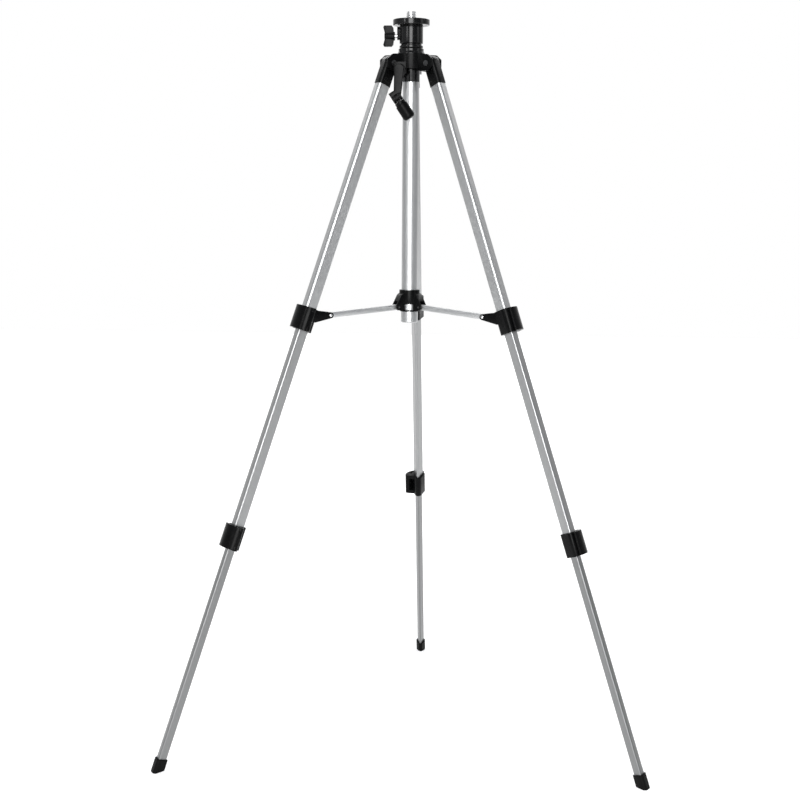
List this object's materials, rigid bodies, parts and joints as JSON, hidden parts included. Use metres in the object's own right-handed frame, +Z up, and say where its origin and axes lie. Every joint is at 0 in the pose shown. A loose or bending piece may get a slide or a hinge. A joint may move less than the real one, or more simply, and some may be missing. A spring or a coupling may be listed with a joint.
{
  "type": "instrument tripod",
  "caption": "Folding aluminium tripod with telescoping flip-lock legs, a geared centre column and a panning head with a threaded stud for a laser level.",
  "frame": {"origin": "centre of the platform's top face, at the foot of the instrument stud", "axes": "+Z up along the stud, -Y is the crank side, legs at 90, 210 and 330 degrees round Z"},
  "size_m": [0.7582, 0.6579, 1.158],
  "materials": {
    "anodised_aluminium": "satin anodised",
    "strut_aluminium": "satin, folded sheet",
    "bright_steel": "turned, bright zinc",
    "dark_steel": "oiled",
    "black_acetal": "waxy",
    "rubber": "matt",
    "vial_glass": "clear",
    "gloss_black": "polished",
    "moulded_black": "semi-gloss, fine texture"
  },
  "bodies": {
    "crown": {"crown_body": "moulded_black", "crown_top_ring": "gloss_black", "neck_collar": "gloss_black", "gear_housing_cover": "moulded_black", "leg_pivot_pins": "dark_steel", "level_housing": "moulded_black", "level_vial": "vial_glass", "center_tube": "anodised_aluminium", "tube_end_cap": "anodised_aluminium"},
    "column": {"column_top_plug": "gloss_black", "elevator_column": "anodised_aluminium", "column_rack": "black_acetal", "column_end_plug": "black_acetal"},
    "head": {"instrument_stud": "bright_steel", "platform_disc": "moulded_black", "stud_lock_nut": "bright_steel", "head_sleeve": "gloss_black"},
    "clamp_knob": {"wing_knob": "moulded_black", "clamp_screw": "bright_steel"},
    "crank": {"pinion_gear": "black_acetal", "crank_shaft": "dark_steel", "crank_arm": "moulded_black", "grip_fold_pin": "dark_steel"},
    "grip_base": {"grip_ferrule": "moulded_black"},
    "grip": {"crank_grip": "moulded_black"},
    "hub": {"spreader_hub": "moulded_black", "hub_ring": "moulded_black", "hub_pins": "dark_steel"},
    "leg_1": {"leg_sleeve_1": "moulded_black", "upper_tube_1": "anodised_aluminium", "upper_lock_collar_1": "moulded_black"},
    "upper_lever_1": {"upper_lock_lever_1": "moulded_black"},
    "middle_1": {"middle_tube_1": "anodised_aluminium", "lower_lock_collar_1": "moulded_black"},
    "lower_lever_1": {"lower_lock_lever_1": "moulded_black"},
    "lower_1": {"lower_tube_1": "anodised_aluminium", "foot_1": "rubber"},
    "strut_1": {"strut_1": "strut_aluminium"},
    "leg_2": {"leg_sleeve_2": "moulded_black", "upper_tube_2": "anodised_aluminium", "upper_lock_collar_2": "moulded_black"},
    "upper_lever_2": {"upper_lock_lever_2": "moulded_black"},
    "middle_2": {"middle_tube_2": "anodised_aluminium", "lower_lock_collar_2": "moulded_black"},
    "lower_lever_2": {"lower_lock_lever_2": "moulded_black"},
    "lower_2": {"lower_tube_2": "anodised_aluminium", "foot_2": "rubber"},
    "strut_2": {"strut_2": "strut_aluminium"},
    "leg_3": {"leg_sleeve_3": "moulded_black", "upper_tube_3": "anodised_aluminium", "upper_lock_collar_3": "moulded_black"},
    "upper_lever_3": {"upper_lock_lever_3": "moulded_black"},
    "middle_3": {"middle_tube_3": "anodised_aluminium", "lower_lock_collar_3": "moulded_black"},
    "lower_lever_3": {"lower_lock_lever_3": "moulded_black"},
    "lower_3": {"lower_tube_3": "anodised_aluminium", "foot_3": "rubber"},
    "strut_3": {"strut_3": "strut_aluminium"}
  },
  "joints": [
    {"name": "elevator_slide", "type": "slide", "parent": "crown", "child": "column", "axis": [0, 0, 1], "range_m": [0, 0.28]},
    {"name": "head_pan", "type": "hinge", "parent": "column", "child": "head", "pos_m": [0, 0, -0.025], "axis": [0, 0, 1], "continuous": true},
    {"name": "clamp_knob_turn", "type": "hinge", "parent": "head", "child": "clamp_knob", "pos_m": [-0.03, 0, -0.025], "axis": [-1, 0, 0], "range_deg": [0, 360]},
    {"name": "crank_turn", "type": "hinge", "parent": "crown", "child": "crank", "pos_m": [-0.0144, -0.03, -0.08], "axis": [0, -1, 0], "range_deg": [0, 3345]},
    {"name": "grip_fold", "type": "hinge", "parent": "crank", "child": "grip_base", "pos_m": [-0.0176, -0.059, -0.123], "axis": [-0.832, 0, -0.5548], "range_deg": [0, 90]},
    {"name": "grip_spin", "type": "hinge", "parent": "grip_base", "child": "grip", "pos_m": [-0.0065, -0.059, -0.13964], "axis": [0.5548, 0, -0.832], "continuous": true},
    {"name": "hub_slide", "type": "slide", "parent": "crown", "child": "hub", "axis": [0, 0, 1], "range_m": [0, 0.09537]},
    {"name": "leg_1_fold", "type": "hinge", "parent": "crown", "child": "leg_1", "pos_m": [0, 0.03659, -0.06847], "axis": [-1, 0, 0], "range_deg": [0, 15.81]},
    {"name": "strut_1_fold", "type": "hinge", "parent": "hub", "child": "strut_1", "pos_m": [0, 0.022, -0.4452], "axis": [-1, 0, 0], "range_deg": [0, 81.45]},
    {"name": "middle_1_slide", "type": "slide", "parent": "leg_1", "child": "middle_1", "axis": [0, -0.3389, 0.9408], "range_m": [0, 0.315]},
    {"name": "lower_1_slide", "type": "slide", "parent": "middle_1", "child": "lower_1", "axis": [0, -0.3389, 0.9408], "range_m": [0, 0.337]},
    {"name": "upper_lever_1_open", "type": "hinge", "parent": "leg_1", "child": "upper_lever_1", "pos_m": [-0.02, 0.17945, -0.45918], "axis": [0, -0.3389, 0.9408], "range_deg": [0, 110]},
    {"name": "lower_lever_1_open", "type": "hinge", "parent": "middle_1", "child": "lower_lever_1", "pos_m": [-0.019, 0.29892, -0.79082], "axis": [0, -0.3389, 0.9408], "range_deg": [0, 110]},
    {"name": "leg_2_fold", "type": "hinge", "parent": "crown", "child": "leg_2", "pos_m": [-0.03169, -0.01829, -0.06847], "axis": [0.5, -0.866, 0], "range_deg": [0, 15.82]},
    {"name": "strut_2_fold", "type": "hinge", "parent": "hub", "child": "strut_2", "pos_m": [-0.01905, -0.011, -0.4452], "axis": [0.5, -0.866, 0], "range_deg": [0, 81.45]},
    {"name": "middle_2_slide", "type": "slide", "parent": "leg_2", "child": "middle_2", "axis": [0.2935, 0.1695, 0.9408], "range_m": [0, 0.315]},
    {"name": "lower_2_slide", "type": "slide", "parent": "middle_2", "child": "lower_2", "axis": [0.2935, 0.1695, 0.9408], "range_m": [0, 0.337]},
    {"name": "upper_lever_2_open", "type": "hinge", "parent": "leg_2", "child": "upper_lever_2", "pos_m": [-0.14541, -0.10705, -0.45918], "axis": [0.2935, 0.1695, 0.9408], "range_deg": [0, 110]},
    {"name": "lower_lever_2_open", "type": "hinge", "parent": "middle_2", "child": "lower_lever_2", "pos_m": [-0.24937, -0.16591, -0.79082], "axis": [0.2935, 0.1695, 0.9408], "range_deg": [0, 110]},
    {"name": "leg_3_fold", "type": "hinge", "parent": "crown", "child": "leg_3", "pos_m": [0.03169, -0.01829, -0.06847], "axis": [0.5, 0.866, 0], "range_deg": [0, 15.82]},
    {"name": "strut_3_fold", "type": "hinge", "parent": "hub", "child": "strut_3", "pos_m": [0.01905, -0.011, -0.4452], "axis": [0.5, 0.866, 0], "range_deg": [0, 81.45]},
    {"name": "middle_3_slide", "type": "slide", "parent": "leg_3", "child": "middle_3", "axis": [-0.2935, 0.1695, 0.9408], "range_m": [0, 0.315]},
    {"name": "lower_3_slide", "type": "slide", "parent": "middle_3", "child": "lower_3", "axis": [-0.2935, 0.1695, 0.9408], "range_m": [0, 0.337]},
    {"name": "upper_lever_3_open", "type": "hinge", "parent": "leg_3", "child": "upper_lever_3", "pos_m": [0.16541, -0.07241, -0.45918], "axis": [-0.2935, 0.1695, 0.9408], "range_deg": [0, 110]},
    {"name": "lower_lever_3_open", "type": "hinge", "parent": "middle_3", "child": "lower_lever_3", "pos_m": [0.26837, -0.133, -0.79082], "axis": [-0.2935, 0.1695, 0.9408], "range_deg": [0, 110]}
  ],
  "couplings": [
    {"joint": "crank_turn", "follows": "elevator_slide", "rad_per_m": 208.33},
    {"joint": "hub_slide", "follows": "leg_1_fold", "m_per_rad": 0.3438},
    {"joint": "strut_1_fold", "follows": "leg_1_fold", "ratio": 5.1484},
    {"joint": "leg_2_fold", "follows": "leg_1_fold", "ratio": 1},
    {"joint": "strut_2_fold", "follows": "leg_1_fold", "ratio": 5.1484},
    {"joint": "leg_3_fold", "follows": "leg_1_fold", "ratio": 1},
    {"joint": "strut_3_fold", "follows": "leg_1_fold", "ratio": 5.1484}
  ]
}
